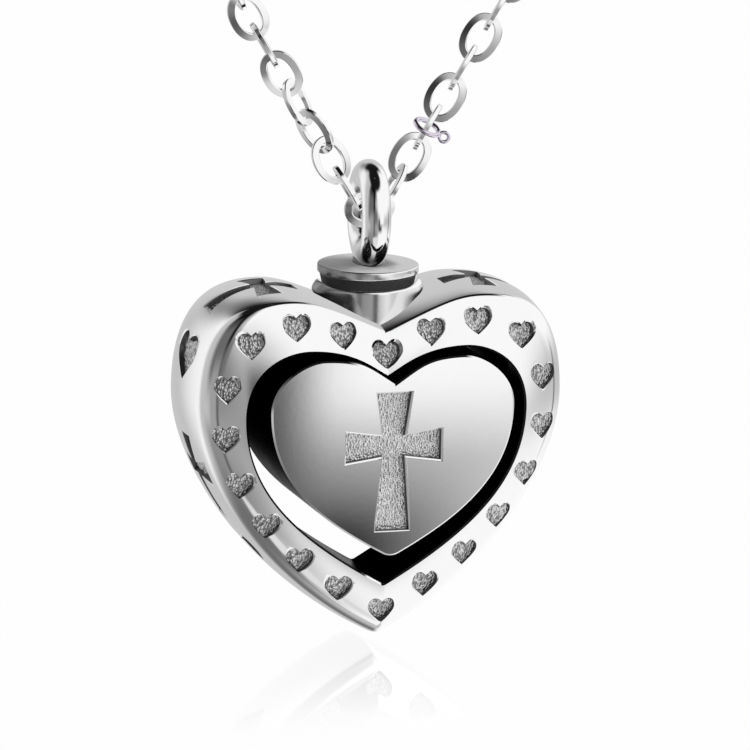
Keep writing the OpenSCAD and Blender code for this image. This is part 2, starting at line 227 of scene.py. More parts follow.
mirrorSteel = steelMaterial("mirrorSteel", (0.87, 0.87, 0.875), 0.07)
# walls of the marks: the dark base colour is painted shade in the recesses
recessShadeSteel = steelMaterial("recessShadeSteel", (0.2, 0.2, 0.205), 0.3, grain=0.5, smudge=0.15, dull=0.3)
# near black with no glancing shine: painted shade for the band's inner wall, the inner heart's sides, the web behind
# the gap and the neck's bore
gapShadeSteel = steelMaterial("gapShadeSteel", (0.012, 0.012, 0.013), 0.2, grain=0.4, smudge=0.12, edge=0.05)
linkSteel = steelMaterial("linkSteel", (0.86, 0.86, 0.87), 0.07, grain=0.06)
violetSteel = steelMaterial("violetSteel", (0.68, 0.62, 0.72), 0.09)
blastedSteel = blastedMaterial("blastedSteel", 0.95, 0.24, 7600)
crossBlasted = blastedMaterial("crossBlasted", 1.0, 0.5, 8600)
# disc and solder: painted shade round the bail's foot and over the left of the disc, partly a stain from the soldering
stainAndShadeSteel = steelMaterial("stainAndShadeSteel", (0.86, 0.86, 0.865), 0.2, grain=0.1)
addPaintedShadeAndStain(stainAndShadeSteel, (-2.2, 0.1, 3.3), 0.8, 3.4, 0.86)
addPaintedShadeAndStain(stainAndShadeSteel, (0, -0.4, 3.3), 0.8, 2.1, 0.9)
neckSteel = steelMaterial("neckSteel", (0.86, 0.86, 0.865), 0.16, grain=0.05)
# painted shade on the neck's left foot, where it spreads into the left lobe
addPaintedShadeAndStain(neckSteel, (-3.4, -0.3, 2.0), 0.6, 1.7, 0.75, 0.4)
bailSteel = steelMaterial("bailSteel", (0.87, 0.87, 0.875), 0.07)
# painted shade at the foot of the bail ring, where it meets the disc
addPaintedShadeAndStain(bailSteel, (0, -1.5, 3.2), 0.9, 2.1, 0.97, 0.3)
sealRubber = rubberMaterial("sealRubber")
print("materials made")


def pickPiece(piece):
    bpy.ops.object.select_all(action="DESELECT")
    piece.select_set(True)
    bpy.context.view_layer.objects.active = piece


def editPiece(piece):
    pickPiece(piece)
    bpy.ops.object.mode_set(mode="EDIT")


def loftPiece(name, loops, end="ring", rows=None):
    # a circle, extruded once for each further loop, every point set on its loop;
    # end is ring, fill or point; rows gives a material number to the strips between two loops
    bpy.ops.object.select_all(action="DESELECT")
    bpy.ops.mesh.primitive_circle_add(vertices=len(loops[0]), radius=mm)
    piece = bpy.context.object
    piece.name = piece.data.name = name
    editPiece(piece)
    mesh = bmesh.from_edit_mesh(piece.data)
    placeLayer = mesh.verts.layers.int.new("place")
    rowLayer = mesh.verts.layers.int.new("row")
    for i, v in enumerate(mesh.verts):
        v[placeLayer] = i
        v.co = loops[0][i]
    bmesh.update_edit_mesh(piece.data)
    if end == "fill":
        bpy.ops.mesh.edge_face_add()
        bpy.ops.mesh.select_all(action="SELECT")
        bpy.ops.mesh.select_mode(type="EDGE")
        bpy.ops.mesh.select_mode(type="VERT")
    for row, loop in enumerate(loops[1:], 1):
        bpy.ops.mesh.extrude_edges_move()
        mesh = bmesh.from_edit_mesh(piece.data)
        placeLayer = mesh.verts.layers.int["place"]
        rowLayer = mesh.verts.layers.int["row"]
        for v in mesh.verts:
            if v.select:
                v.co = loop[v[placeLayer]]
                v[rowLayer] = row
        bmesh.update_edit_mesh(piece.data)
    if end == "fill":
        bpy.ops.mesh.edge_face_add()
    if end == "point":
        bpy.ops.mesh.merge(type="CENTER")
    if rows:
        mesh = bmesh.from_edit_mesh(piece.data)
        rowLayer = mesh.verts.layers.int["row"]
        for face in mesh.faces:
            low = min(v[rowLayer] for v in face.verts)
            high = max(v[rowLayer] for v in face.verts)
            for first, last, number in rows:
                if low >= first and high <= last:
                    face.material_index = number
        bmesh.update_edit_mesh(piece.data)
    bpy.ops.mesh.select_all(action="SELECT")
    bpy.ops.mesh.remove_doubles(threshold=1e-7)
    bpy.ops.mesh.normals_make_consistent(inside=False)
    bpy.ops.object.mode_set(mode="OBJECT")
    for layer in ("place", "row"):
        if layer in piece.data.attributes:
            piece.data.attributes.remove(piece.data.attributes[layer])
    return piece


def joinPieces(pieces, name):
    bpy.ops.object.select_all(action="DESELECT")
    for piece in pieces:
        piece.select_set(True)
    bpy.context.view_layer.objects.active = pieces[0]
    if len(pieces) > 1:
        bpy.ops.object.join()
    pieces[0].name = pieces[0].data.name = name
    return pieces[0]


def cutPiece(piece, tool):
    # takes the tool away from the piece; the cut faces keep the materials of the tool
    pickPiece(piece)
    cut = piece.modifiers.new("cut", "BOOLEAN")
    cut.operation = "DIFFERENCE"
    cut.solver = "EXACT"
    cut.material_mode = "TRANSFER"
    cut.object = tool
    bpy.ops.object.modifier_apply(modifier=cut.name)
    bpy.data.objects.remove(tool)


def smoothPiece(piece, angle=32):
    pickPiece(piece)
    bpy.ops.object.shade_smooth_by_angle(angle=math.radians(angle))


def copyPiece(piece, matrix):
    copy = bpy.data.objects.new(piece.name, piece.data.copy())
    bpy.context.scene.collection.objects.link(copy)
    copy.data.transform(matrix)
    return copy


def turnLoops(profile, sides=96):
    # loops of a turned piece from its profile of radius and height in mm
    around = [2 * math.pi * i / sides for i in range(sides)]
    return [[Vector((r * math.cos(a) * mm, r * math.sin(a) * mm, cleft + z * mm)) for a in around]
            for r, z in profile]


# heart curves: place of the lobe top and of the widest point, slopes at cleft and tip, handles
frameHeart = {
    "halfWidth": 10.88, "cleft": 0.0, "top": 1.97, "tip": -18.0, "tipRadius": 0.5,
    "shape": (0.537, 0.303, 24.7, 26.7, 0.368, 0.126, 0.58, 0.78, 0.240, 0.3325),
}
openingHeart = {
    "halfWidth": 8.42, "cleft": -2.57, "top": -0.95, "tip": -14.9, "tipRadius": 0.3,
    "shape": (0.559, 0.268, 33, 29.8, 0.114, 0.321, 0.458, 0.702, 0.324, 0.3975),
}
smallHeart = {
    "halfWidth": 7.37, "cleft": -2.66, "top": -1.16, "tip": -12.9, "tipRadius": 1.0,
    "shape": (0.5655, 0.256, 33, 29, 0.2417, 0.303, 0.383, 0.594, 0.3836, 0.3138),
}
heartSteps = (36, 40, 70, 7)            # cleft to lobe top, to the side, to the tip, tip


def curvePoint(a, b, c, d, t):
    return (1 - t) ** 3 * a + 3 * (1 - t) ** 2 * t * b + 3 * (1 - t) * t * t * c + t ** 3 * d


def halfHeart(heart, steps=heartSteps):
    k = heart["shape"]
    w, top, tip, r = heart["halfWidth"], heart["top"], heart["tip"], heart["tipRadius"]
    h = top - tip
    s2, s3 = math.radians(k[2]), math.radians(k[3])
    a = Vector((0, heart["cleft"]))
    b = Vector((k[0] * w, top))
    c = Vector((w, top - k[1] * h))
    d = Vector((r * math.sin(s3), tip + r * (1 - math.cos(s3))))
    a1 = a + k[4] * w * Vector((math.cos(s2), math.sin(s2)))
    b0 = b - Vector((k[5] * w, 0))
    b1 = b + Vector((k[6] * (c.x - b.x), 0))
    c0 = c + Vector((0, k[7] * (b.y - c.y)))
    c1 = c - Vector((0, k[8] * h))
    d0 = d + k[9] * h * Vector((math.cos(s3), math.sin(s3)))
    points = [curvePoint(a, a1, b0, b, i / steps[0]) for i in range(steps[0])]
    points += [curvePoint(b, b1, c0, c, i / steps[1]) for i in range(steps[1])]
    points += [curvePoint(c, c1, d0, d, i / steps[2]) for i in range(steps[2])]
    for i in range(steps[3] + 1):
        turn = s3 * (1 - i / steps[3])
        points.append(Vector((r * math.sin(turn), tip + r * (1 - math.cos(turn)))))
    return points


def wholeHeart(half):
    return half + [Vector((-p.x, p.y)) for p in reversed(half[1:-1])]


def heartPoint(p, depth):
    # from the heart's plane to the frame of the part: p in mm, depth in mm behind its middle
    return Vector((p[0] * mm, depth * mm, cleft + p[1] * mm))


frameBand = {
    "wallDepth": 7.4, "bulge": 0.4, "faceRise": 0.7, "faceCurve": 0.38, "backDish": 1.6, "backCurve": 0.4,
    "softEdge": 0.9, "crispEdge": 0.14, "innerEdge": 0.12,
    "rows": {"edge": 10, "wall": 16, "back": 10, "inner": 4, "face": 20},
}
frameHalf, openingHalf = halfHeart(frameHeart), halfHeart(openingHeart)
frameLoop, openingLoop = wholeHeart(frameHalf), wholeHeart(openingHalf)


def edgeRadius(i):
    # crisp from the cleft over the lobe top, soft at the side and the tip
    j = i if i < len(frameHalf) else len(frameLoop) - i
    t = min(1, max(0, (j - heartSteps[0]) / (heartSteps[1] * 0.7)))
    crisp, soft = frameBand["crispEdge"], frameBand["softEdge"]
    return crisp + (soft - crisp) * t * t * (3 - 2 * t)


def bandSection(w, r):
    # one section of the frame: distance from the outer edge inward, and depth
    half, rows = frameBand["wallDepth"] / 2, frameBand["rows"]
    edge = frameBand["innerEdge"]

    def face(x):
        t = x / w
        return -half - frameBand["faceRise"] * (t + frameBand["faceCurve"] * (t - t * t))

    def back(x):
        t = x / w
        return half - frameBand["backDish"] * (t + frameBand["backCurve"] * (t - t * t))

    def wall(y):
        return -frameBand["bulge"] * (1 - (y / half) ** 2)

    points = []
    for i in range(rows["edge"] + 1):
        a = math.pi / 2 * i / rows["edge"]
        x, y = r * (1 - math.sin(a)), r * (1 - math.cos(a))
        points.append((x + wall(-half + y), face(x) + y))
    for i in range(1, rows["wall"]):
        y = -(half - r) + 2 * (half - r) * i / rows["wall"]
        points.append((wall(y), y))
    for i in range(rows["edge"] + 1):
        a = math.pi / 2 * (1 - i / rows["edge"])
        x, y = r * (1 - math.sin(a)), r * (1 - math.cos(a))
        points.append((x + wall(half - y), back(x) - y))
    for i in range(1, rows["back"] + 1):
        x = r + (w - edge - r) * i / rows["back"]
        points.append((x, back(x)))
    innerStart = len(points)
    for i in range(rows["inner"] + 1):
        t = i / rows["inner"]
        points.append((w, (back(w) - edge) * (1 - t) + (face(w) + edge) * t))
    innerEnd = len(points) - 1
    for i in range(rows["face"] + 1):
        x = (w - edge) + (r - w + edge) * i / rows["face"]
        points.append((x, face(x)))
    return points, innerStart, innerEnd


def bandLoops():
    sections = []
    for i, outer in enumerate(frameLoop):
        across = openingLoop[i] - outer
        points, innerStart, innerEnd = bandSection(across.length, edgeRadius(i))
        across.normalize()
        sections.append([heartPoint(outer + across * x, y) for x, y in points])
    loops = [[section[row] for section in sections] for row in range(len(sections[0]))]
    return loops, innerStart, innerEnd


loops, innerStart, innerEnd = bandLoops()
# the band's inner wall, facing the gap, takes the near black painted shade
heartFrame = loftPiece("heartFrame", loops, "ring", [(innerStart, innerEnd, 1)])
for material in (mirrorSteel, gapShadeSteel, blastedSteel):
    heartFrame.data.materials.append(material)
print("frame band", len(heartFrame.data.polygons), "faces")

# marks: hearts in the front face, hearts and crosses round the wall
marks = {
    "depth": 0.33, "floorShare": 0.95,
    "lip": (0.1, 0.06), "lipAbove": 0.03,                       # width and depth of the lip
    "frontHeart": 1.62, "frontRise": 0.6, "shiftOut": 2.5,      # share of the face's rise at its middle
    "frontShift": (0, 0, 0, 0, 0.03, 0.07, 0.1, 0.11, 0.11, 0.08, 0.05),
    "wallHeart": 3.3, "wallHeartHeight": 0.8,
    "wallCross": 5.2, "wallCrossSpan": 0.8, "wallCrossUp": 0.4,
    "crosses": (0.205, 0.582), "hearts": (0.385, 0.76),         # shares of the way from cleft to tip
}


def arcLengths(points):
    lengths = [0.0]
    for a, b in zip(points, points[1:]):
        lengths.append(lengths[-1] + (b - a).length)
    return lengths


def alongCurve(points, lengths, s):
    s = min(max(s, 0), lengths[-1])
    for i in range(1, len(points)):
        if s <= lengths[i]:
            return points[i - 1].lerp(points[i], (s - lengths[i - 1]) / (lengths[i] - lengths[i - 1]))
    return points[-1].copy()


bandMiddle = [(a + b) / 2 for a, b in zip(frameHalf, openingHalf)]
bandLengths = arcLengths(bandMiddle)
frameLengths = arcLengths(frameHalf)


def markHeart(width, height):
    # outline of a small plump heart, centred on its middle
    shape = (0.47, 0.36, 36, 42, 0.12, 0.24, 0.6, 0.62, 0.2, 0.26)
    half = halfHeart({"halfWidth": width / 2, "cleft": 0.35 * height, "top": 0.5 * height,
                      "tip": -0.5 * height, "tipRadius": 0.05 * width, "shape": shape}, (6, 7, 10, 2))
    return wholeHeart(half)


def crossOutline(length, span, up, waist, flare, neck, tip):
    # flared cross with its crossing at the middle, all shares of the span
    e, n, v, f = flare * span, waist * span, neck * span, tip * span
    return [Vector(p) for p in (
        (-e, up * length), (e, up * length), (n, v), (span / 2, f), (span / 2, -f), (n, -v),
        (e, -(1 - up) * length), (-e, -(1 - up) * length), (-n, -v), (-span / 2, -f), (-span / 2, f), (-n, v))]


def shrink(outline, by):
    # moves every side of an outline inward by the same distance
    n = len(outline)
    area = sum(outline[i].x * outline[(i + 1) % n].y - outline[(i + 1) % n].x * outline[i].y for i in range(n))
    side = 1 if area > 0 else -1
    moved = []
    for i in range(n):
        a = (outline[i] - outline[i - 1]).normalized()
        b = (outline[(i + 1) % n] - outline[i]).normalized()
        na, nb = Vector((-a.y, a.x)) * side, Vector((-b.y, b.x)) * side
        m = na + nb
        m = m / max(0.35, m.length_squared / 2) if m.length > 1e-6 else na
        moved.append(outline[i] + m * by)
    return moved


def stamp(name, levels, floor):
    # a plug through outlines given from its floor upward, each with its height; the floor is blasted,
    # the walls are painted dark as shade and the lip above them is polished
    loops = [[Vector((p.x, p.y, z)) * mm for p in outline] for outline, z in levels]
    piece = loftPiece(name, loops, "fill", [(0, 1, 1), (1, len(levels) - 1, 0)])
    for material in (mirrorSteel, recessShadeSteel, floor):
        piece.data.materials.append(material)
    for face in piece.data.polygons:
        if face.normal.z < -0.9:
            face.material_index = 2
    return piece


def markLevels(outline, above):
    # floor, foot of the lip, and the lip carried on above the surface
    size = max(p.x for p in outline)
    wide, lip = marks["lip"]
    top = marks["lipAbove"]
    grow = 1 + (top + lip) * wide / lip / size
    return [([p * marks["floorShare"] for p in outline], -marks["depth"]), (outline, -lip),
            ([p * grow for p in outline], top), ([p * (grow + 0.02) for p in outline], above)]


def frontPlace(k, side):
    s = bandLengths[-1] * k / 10
    p = alongCurve(bandMiddle, bandLengths, s)
    if k in (0, 10):
        out = Vector((0, 1 if k == 0 else -1))
    else:
        t = alongCurve(bandMiddle, bandLengths, s + 0.3) - alongCurve(bandMiddle, bandLengths, s - 0.3)
        out = Vector((-t.y, t.x)).normalized()
    shift = marks["frontShift"][k]
    p = p + out * shift * marks["shiftOut"]
    tilt = math.atan(frameBand["faceRise"] / -openingHeart["cleft"])
    axis = Vector((-out.y, 0, side * out.x))
    depth = -frameBand["wallDepth"] / 2 - (marks["frontRise"] - shift) * frameBand["faceRise"]
    at = heartPoint((side * p.x, p.y), depth)
    return Matrix.Translation(at) @ Matrix.Rotation(tilt, 4, axis) @ Matrix.Rotation(math.pi / 2, 4, "X")


outline = markHeart(marks["frontHeart"], 0.95 * marks["frontHeart"])
heartStamp = stamp("heartStamp", markLevels(outline, 0.3), blastedSteel)
tools = []
for k in range(11):
    for side in ((1,) if k in (0, 10) else (-1, 1)):
        tools.append(copyPiece(heartStamp, frontPlace(k, side)))
bpy.data.objects.remove(heartStamp)
cutPiece(heartFrame, joinPieces(tools, "frontStamps"))
print("front hearts cut")


def wallPoint(side, s, x, y, z):
    # a point over the outer wall: x across its depth, y towards the cleft, z above its surface
    p = alongCurve(frameHalf, frameLengths, s - y)
    before, after = [alongCurve(frameHalf, frameLengths, s - y + d) for d in (-0.4, 0.4)]
    t = (after - before).normalized()
    half = frameBand["wallDepth"] / 2
    out = p + Vector((-t.y, t.x)) * (z + frameBand["bulge"] * (1 - (x / half) ** 2))
    return heartPoint((side * out.x, out.y), side * x)


def sliceAlong(piece, normal, reach, step):
    # cuts a piece into strips, so that it can follow a curved wall
    editPiece(piece)
    for i in range(-int(reach / step), int(reach / step) + 1):
        bpy.ops.mesh.select_all(action="SELECT")
        bpy.ops.mesh.bisect(plane_co=Vector(normal) * (i + 0.37) * step * mm, plane_no=normal)
    bpy.ops.object.mode_set(mode="OBJECT")


def wallTool(name, side, share, outline):
    # a plug for a mark in the outer wall, cut in strips and laid round the wall
    piece = stamp(name, markLevels(outline, 0.2), blastedSteel)
    sliceAlong(piece, (0, 1, 0), 4.8, 0.3)
    sliceAlong(piece, (1, 0, 0), 3.0, 0.6)
    for v in piece.data.vertices:
        v.co = wallPoint(side, share * frameLengths[-1], v.co.x / mm, v.co.y / mm, v.co.z / mm)
    editPiece(piece)
    bpy.ops.mesh.select_all(action="SELECT")
    bpy.ops.mesh.quads_convert_to_tris()
    bpy.ops.mesh.normals_make_consistent(inside=False)
    bpy.ops.object.mode_set(mode="OBJECT")
    return piece


def wallMarks():
    length = marks["wallCross"]
    cross = crossOutline(length, marks["wallCrossSpan"] * length, marks["wallCrossUp"], 0.115, 0.18, 0.11, 0.18)
    heart = markHeart(marks["wallHeart"], marks["wallHeartHeight"] * marks["wallHeart"])
    tools = []
    for side in (-1, 1):
        tools += [wallTool("wallCross", side, share, cross) for share in marks["crosses"]]
        tools += [wallTool("wallHeart", side, share, heart) for share in marks["hearts"]]
    return joinPieces(tools, "wallStamps")


cutPiece(heartFrame, wallMarks())
print("wall marks cut")
smoothPiece(heartFrame)
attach(heartFrame, "urn")
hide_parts("heart_frame")
print("heart frame", len(heartFrame.data.polygons), "faces")

# inner heart: domed face with a fine bright edge, sides painted dark as shade, flared cross
heartBody = {
    "front": -5.7, "back": 2.1, "domeRadius": 91.0, "middle": 0.36, "edge": 0.1, "rings": 26, "backRings": 12,
    "cross": (8.22, 5.79), "crossUp": 0.386, "crossDepth": 0.33, "crossSlant": 0.04,
    "crossLip": (0.045, 0.03), "crossAbove": 0.3,
}
smallHalf = halfHeart(smallHeart)
smallLoop = wholeHeart(smallHalf)
heartHeight = smallHeart["cleft"] - smallHeart["tip"]
heartMiddle = Vector((0, smallHeart["cleft"] - heartBody["middle"] * heartHeight))
domeDrop = heartBody["domeRadius"] - math.sqrt(heartBody["domeRadius"] ** 2 - smallHeart["halfWidth"] ** 2)


def domeDepth(p):
    r = heartBody["domeRadius"]
    return heartBody["front"] - domeDrop + r - math.sqrt(r * r - (p - heartMiddle).length_squared)


def ringTowards(loop, share):
    return [heartMiddle + (p - heartMiddle) * share for p in loop]


edge, backDepth, backRings = heartBody["edge"], heartBody["back"], heartBody["backRings"]
loops = [[heartPoint(p, backDepth) for p in ringTowards(smallLoop, 1 - i / backRings)]
         for i in range(backRings - 1, 0, -1)]
rim = shrink(smallLoop, edge)
loops.append([heartPoint(p, backDepth) for p in rim])
sideStart = len(loops)
for t in (0, 0.25, 0.5, 0.75, 1):
    loops.append([heartPoint(p, (backDepth - edge) * (1 - t) + (domeDepth(p) + edge) * t) for p in smallLoop])
sideEnd = len(loops) - 1
for i in range(heartBody["rings"]):
    loops.append([heartPoint(p, domeDepth(p)) for p in ringTowards(rim, 1 - i / heartBody["rings"])])
# the sides take the near black painted shade
innerHeart = loftPiece("innerHeart", loops, "point", [(sideStart, sideEnd, 1)])
editPiece(innerHeart)
bpy.ops.mesh.select_all(action="DESELECT")
bpy.ops.mesh.select_non_manifold()
bpy.ops.mesh.merge(type="CENTER")
bpy.ops.object.mode_set(mode="OBJECT")
for material in (mirrorSteel, gapShadeSteel):
    innerHeart.data.materials.append(material)
print("inner heart", len(innerHeart.data.polygons), "faces")

outline = crossOutline(*heartBody["cross"], heartBody["crossUp"], 0.116, 0.18, 0.105, 0.16)
wide, lip = heartBody["crossLip"]
levels = [(shrink(outline, heartBody["crossSlant"]), -heartBody["crossDepth"]), (outline, -lip),
          (shrink(outline, -2 * wide), lip), (shrink(outline, -2.2 * wide), heartBody["crossAbove"])]
crossStamp = stamp("crossStamp", levels, crossBlasted)
crossStamp.data.transform(Matrix.Translation(heartPoint(heartMiddle, heartBody["front"] - 0.5 * domeDrop))
                          @ Matrix.Rotation(math.pi / 2, 4, "X"))
cutPiece(innerHeart, crossStamp)
smoothPiece(innerHeart)
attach(innerHeart, "urn")
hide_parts("inner_heart")

# ledge behind the gap that joins the two hearts over the lobe tops
webSize = {"front": -0.42, "back": 1.8, "reach": -3.7, "gap": 0.05, "into": 0.2}


def webLoops(w):
    around = shrink(smallLoop, -w["gap"])
    last = next(i for i, p in enumerate(openingHalf) if i > heartSteps[0] and p.y < w["reach"])
    loops = []
    for i in range(-last, last + 1):
        inside, outside = around[i], openingLoop[i].lerp(frameLoop[i], w["into"])
        loops.append([heartPoint(p, y) for p, y in ((inside, w["front"]), (outside, w["front"]),
                                                    (outside, w["back"]), (inside, w["back"]))])
    return loops


jointWeb = loftPiece("jointWeb", webLoops(webSize), "fill")
# the web is painted near black as the shade in the gap
jointWeb.data.materials.append(gapShadeSteel)
smoothPiece(jointWeb)
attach(jointWeb, "urn")
print("inner heart and web made")

# neck: a tube that stands in the cleft and spreads up the lobe on each side, past the gasket's foot
neck = {
    "bore": 1.6, "edge": 0.12, "spigot": 2.05, "foot": -2.4, "seat": -0.57, "top": 2.14, "flat": 2.45,
    "spread": 8, "sides": 144,
    "front": ((2.7, -0.57), (2.7, 0.3), (2.7, 0.8), (2.7, 1.1), (2.7, 1.3), (2.7, 1.45), (2.7, 1.6), (2.7, 1.72),
              (2.7, 1.84), (2.7, 1.94), (2.7, 2.02), (2.69, 2.07), (2.66, 2.11), (2.6, 2.14), (2.5, 2.14)),
    "side": ((2.74, -0.57), (2.78, 0.3), (2.86, 0.8), (2.95, 1.1), (3.05, 1.3), (3.16, 1.45), (3.26, 1.6),
             (3.33, 1.72), (3.36, 1.84), (3.35, 1.97), (3.3, 2.1), (3.22, 2.24), (3.13, 2.37), (3.03, 2.43),
             (2.93, 2.15)),
}


def neckLoops(n):
    ends = ((n["spigot"], n["seat"]), (n["spigot"], n["foot"]), (n["bore"], n["foot"]),
            (n["bore"], n["top"] - n["edge"]), (n["bore"] + n["edge"], n["top"]), (n["flat"], n["top"]))
    rows = [(end, end) for end in ends] + list(zip(n["front"], n["side"]))[::-1]
    loops = []
    for front, side in rows:
        loop = []
        for i in range(n["sides"]):
            a = 2 * math.pi * i / n["sides"]
            share = abs(math.cos(a)) ** n["spread"]
            r, z = [f + (s - f) * share for f, s in zip(front, side)]
            loop.append(Vector((r * math.cos(a) * mm, r * math.sin(a) * mm, cleft + z * mm)))
        loops.append(loop)
    return loops + loops[:1]


# the bore inside the neck is painted near black as shade
neckTube = loftPiece("neckTube", neckLoops(neck), "ring", [(2, 3, 1)])
neckTube.data.materials.append(neckSteel)
neckTube.data.materials.append(gapShadeSteel)
smoothPiece(neckTube)
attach(neckTube, "urn")

# gasket: black rubber between neck and cap
gasketSize = {"bore": 1.62, "foot": 2.67, "rim": 2.83, "low": 2.16, "height": 0.66}
g = gasketSize
z0, z1 = g["low"], g["low"] + g["height"]
profile = [(g["bore"], z0), (g["foot"], z0), (g["foot"] + 0.05, z0 + 0.08), (g["rim"] - 0.02, z0 + 0.5),
           (g["rim"], z0 + 0.56), (g["rim"] - 0.03, z1 - 0.02), (g["rim"] - 0.1, z1), (g["bore"], z1),
           (g["bore"], z0)]
gasket = loftPiece("gasketRing", turnLoops(profile), "ring")
gasket.data.materials.append(sealRubber)
smoothPiece(gasket)
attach(gasket, "seal")
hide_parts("gasket")
neckTube.visible_glossy = gasket.visible_glossy = False
print("neck and gasket made")

# screw cap: disc with a rolled rim, threaded shank, bail ring soldered on
cap = {
    "disc": 2.97, "discLow": 2.84, "discHeight": 0.48, "rim": 0.08, "dome": 0.16,
    "crest": 1.55, "root": 1.3, "shank": 3.04, "pitch": 0.5,
    "bail": 2.34, "bailWire": 0.85, "bailTurn": -6, "solder": (1.0, 1.55),
}


def discProfile(c):
    r, z, h, e = c["disc"], c["discLow"], c["discHeight"], c["rim"]
    profile = [(0.4, z), (r - e, z)]
    profile += [(r - e + e * math.sin(a), z + e - e * math.cos(a)) for a in (0.4, 0.8, 1.2, 1.57)]
    profile += [(r - e + e * math.cos(a), z + h - e + e * math.sin(a)) for a in (0, 0.4, 0.8, 1.2, 1.57)]
    top = z + h - 0.02
    profile += [(r * share, top + c["dome"] * (1 - share ** 2)) for share in (0.9, 0.75, 0.6, 0.45, 0.3, 0.15)]
    return profile


def torusLoops(centre, ring, wire, matrix, stations=96, sides=40):
    loops = []
    for i in range(stations + 1):
        a = 2 * math.pi * (i % stations) / stations
        loops.append([centre + matrix @ (Vector((
            wire * math.cos(2 * math.pi * j / sides),
            (ring + wire * math.sin(2 * math.pi * j / sides)) * math.cos(a),
            (ring + wire * math.sin(2 * math.pi * j / sides)) * math.sin(a))) * mm) for j in range(sides)])
    return loops


def threadLoops(c, turns=5, steps=40):
    loops = []
    low = c["discLow"] - c["shank"] + 0.35
    for i in range(turns * steps + 1):
        a = 2 * math.pi * i / steps
        z = low + c["pitch"] * i / steps
        fade = min(1, i / 12, (turns * steps - i) / 12)
        crest = c["root"] + (c["crest"] - c["root"]) * max(0.04, fade)
        root = c["root"] - 0.05
        section = ((root, z - 0.2), (crest, z - 0.05), (crest, z + 0.05), (root, z + 0.2))
        loops.append([Vector((q * math.cos(a) * mm, q * math.sin(a) * mm, cleft + y * mm)) for q, y in section])
    return loops


def solderLoops(c):
    # low mound where the bail ring meets the disc
    turn = Matrix.Rotation(math.radians(c["bailTurn"]), 3, "Z")
    top = c["discLow"] + c["discHeight"]
    x, y = c["solder"]
    around = [2 * math.pi * i / 48 for i in range(48)]
    loops = []
    for share, z in ((1.25, -0.05), (1.12, 0.03), (0.98, 0.12), (0.9, 0.24), (0.86, 0.4)):
        at = Vector((0, 0, cleft + (top + z) * mm))
        loops.append([turn @ (Vector((x * share * math.cos(a), y * share * math.sin(a), 0)) * mm) + at for a in around])
    return loops


disc = loftPiece("disc", turnLoops(discProfile(cap)), "fill")
low = cap["discLow"] - cap["shank"]
shank = loftPiece("shank", turnLoops([(0.7, low), (cap["root"] - 0.15, low), (cap["root"], low + 0.15),
                                      (cap["root"], cap["discLow"] + 0.1)], 64), "fill")
thread = loftPiece("thread", threadLoops(cap), "fill")
bail = loftPiece("bail", torusLoops(Vector((0, 0, bailCentre)), cap["bail"], cap["bailWire"],
                                    Matrix.Rotation(math.radians(cap["bailTurn"]), 3, "Z")), "ring")
solder = loftPiece("solder", solderLoops(cap), "fill")
capParts = {disc: stainAndShadeSteel, shank: mirrorSteel, thread: mirrorSteel, bail: bailSteel, solder: stainAndShadeSteel}
for piece, material in capParts.items():
    piece.data.materials.append(material)
screwCap = joinPieces(list(capParts), "screwCap")
smoothPiece(screwCap, 40)
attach(screwCap, "cap")
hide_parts("screw_cap")
screwCap.visible_glossy = False
print("screw cap", len(screwCap.data.polygons), "faces")

# chain: flat oval links that hang in a loop of its real length
chain = {
    "length": 500.0, "angle": 31.0, "gap": 0.18,
    "link": (3.0, 2.2), "wire": (0.4, 0.3), "squareness": 2.15, "dish": 9,
    "leftTwist": (-3, 14, 32, 50, 68, 84, 90), "rightTwist": (-5, -12, -20),
    "endX": 0.68, "endRise": 0.15, "bailGap": 0.1, "claspHalf": 6.6, "claspRadius": 1.6, "near": 16,
}
pitch = chain["link"][0] - 2 * chain["wire"][0] - chain["gap"]
apexUp = cap["bail"] - cap["bailWire"] - chain["bailGap"] - chain["link"][1] / 2
lean0 = math.radians(chain["angle"])
runStart = chain["endX"] / math.sin(lean0)
firstS = runStart + chain["link"][0] / 2 - chain["wire"][0] / 2
tanShare = 1 / math.tan(lean0) + math.pi / 2 + lean0
loopRadius = (chain["length"] / 2 + runStart) / tanShare
lowest = -loopRadius * (1 + 1 / math.sin(lean0))
straight = loopRadius / math.tan(lean0)
sideLength = loopRadius * tanShare
sideCount = int((sideLength - chain["claspHalf"] - firstS) / pitch) + 1


def runAt(side, s, turn):
    if s < straight:
        lean, x, z = lean0, s * math.sin(lean0), lowest + s * math.cos(lean0)
    else:
        lean = lean0 - (s - straight) / loopRadius
        x, z = loopRadius * math.cos(lean), -loopRadius - loopRadius * math.sin(lean)
    return (Matrix.Translation((side * x * mm, 0, z * mm)) @ Matrix.Rotation(side * lean - math.pi / 2, 4, "Y")
            @ Matrix.Rotation(math.radians(turn), 4, "X"))


def rollOf(side, i):
    twist = chain["rightTwist"] if side > 0 else chain["leftTwist"]
    return twist[min(i, len(twist)) - 1] + (0 if i % 2 == 1 else 90)


def linkPiece(name, stations, section):
    length, width = chain["link"]
    wire = chain["wire"][0]
    halfLong, halfWide = (length - wire) / 2, (width - wire) / 2
    p = 2 / chain["squareness"]                 # a full oval, a little squarer than an ellipse

    def middle(a):
        c, s = math.cos(a), math.sin(a)
        return Vector((math.copysign(abs(c) ** p, c) * halfLong, math.copysign(abs(s) ** p, s) * halfWide, 0))

    loops = []
    dish = math.radians(chain["dish"])
    for i in range(stations + 1):
        a = 2 * math.pi * ((i % stations) + 0.5) / stations
        along = (middle(a + 0.01) - middle(a - 0.01)).normalized()
        out, up = Vector((along.y, -along.x, 0)), Vector((0, 0, 1))
        wide, thick = out * math.cos(dish) - up * math.sin(dish), up * math.cos(dish) + out * math.sin(dish)
        loops.append([(middle(a) + wide * x + thick * y) * mm for x, y in section])
    return loftPiece(name, loops, "ring")


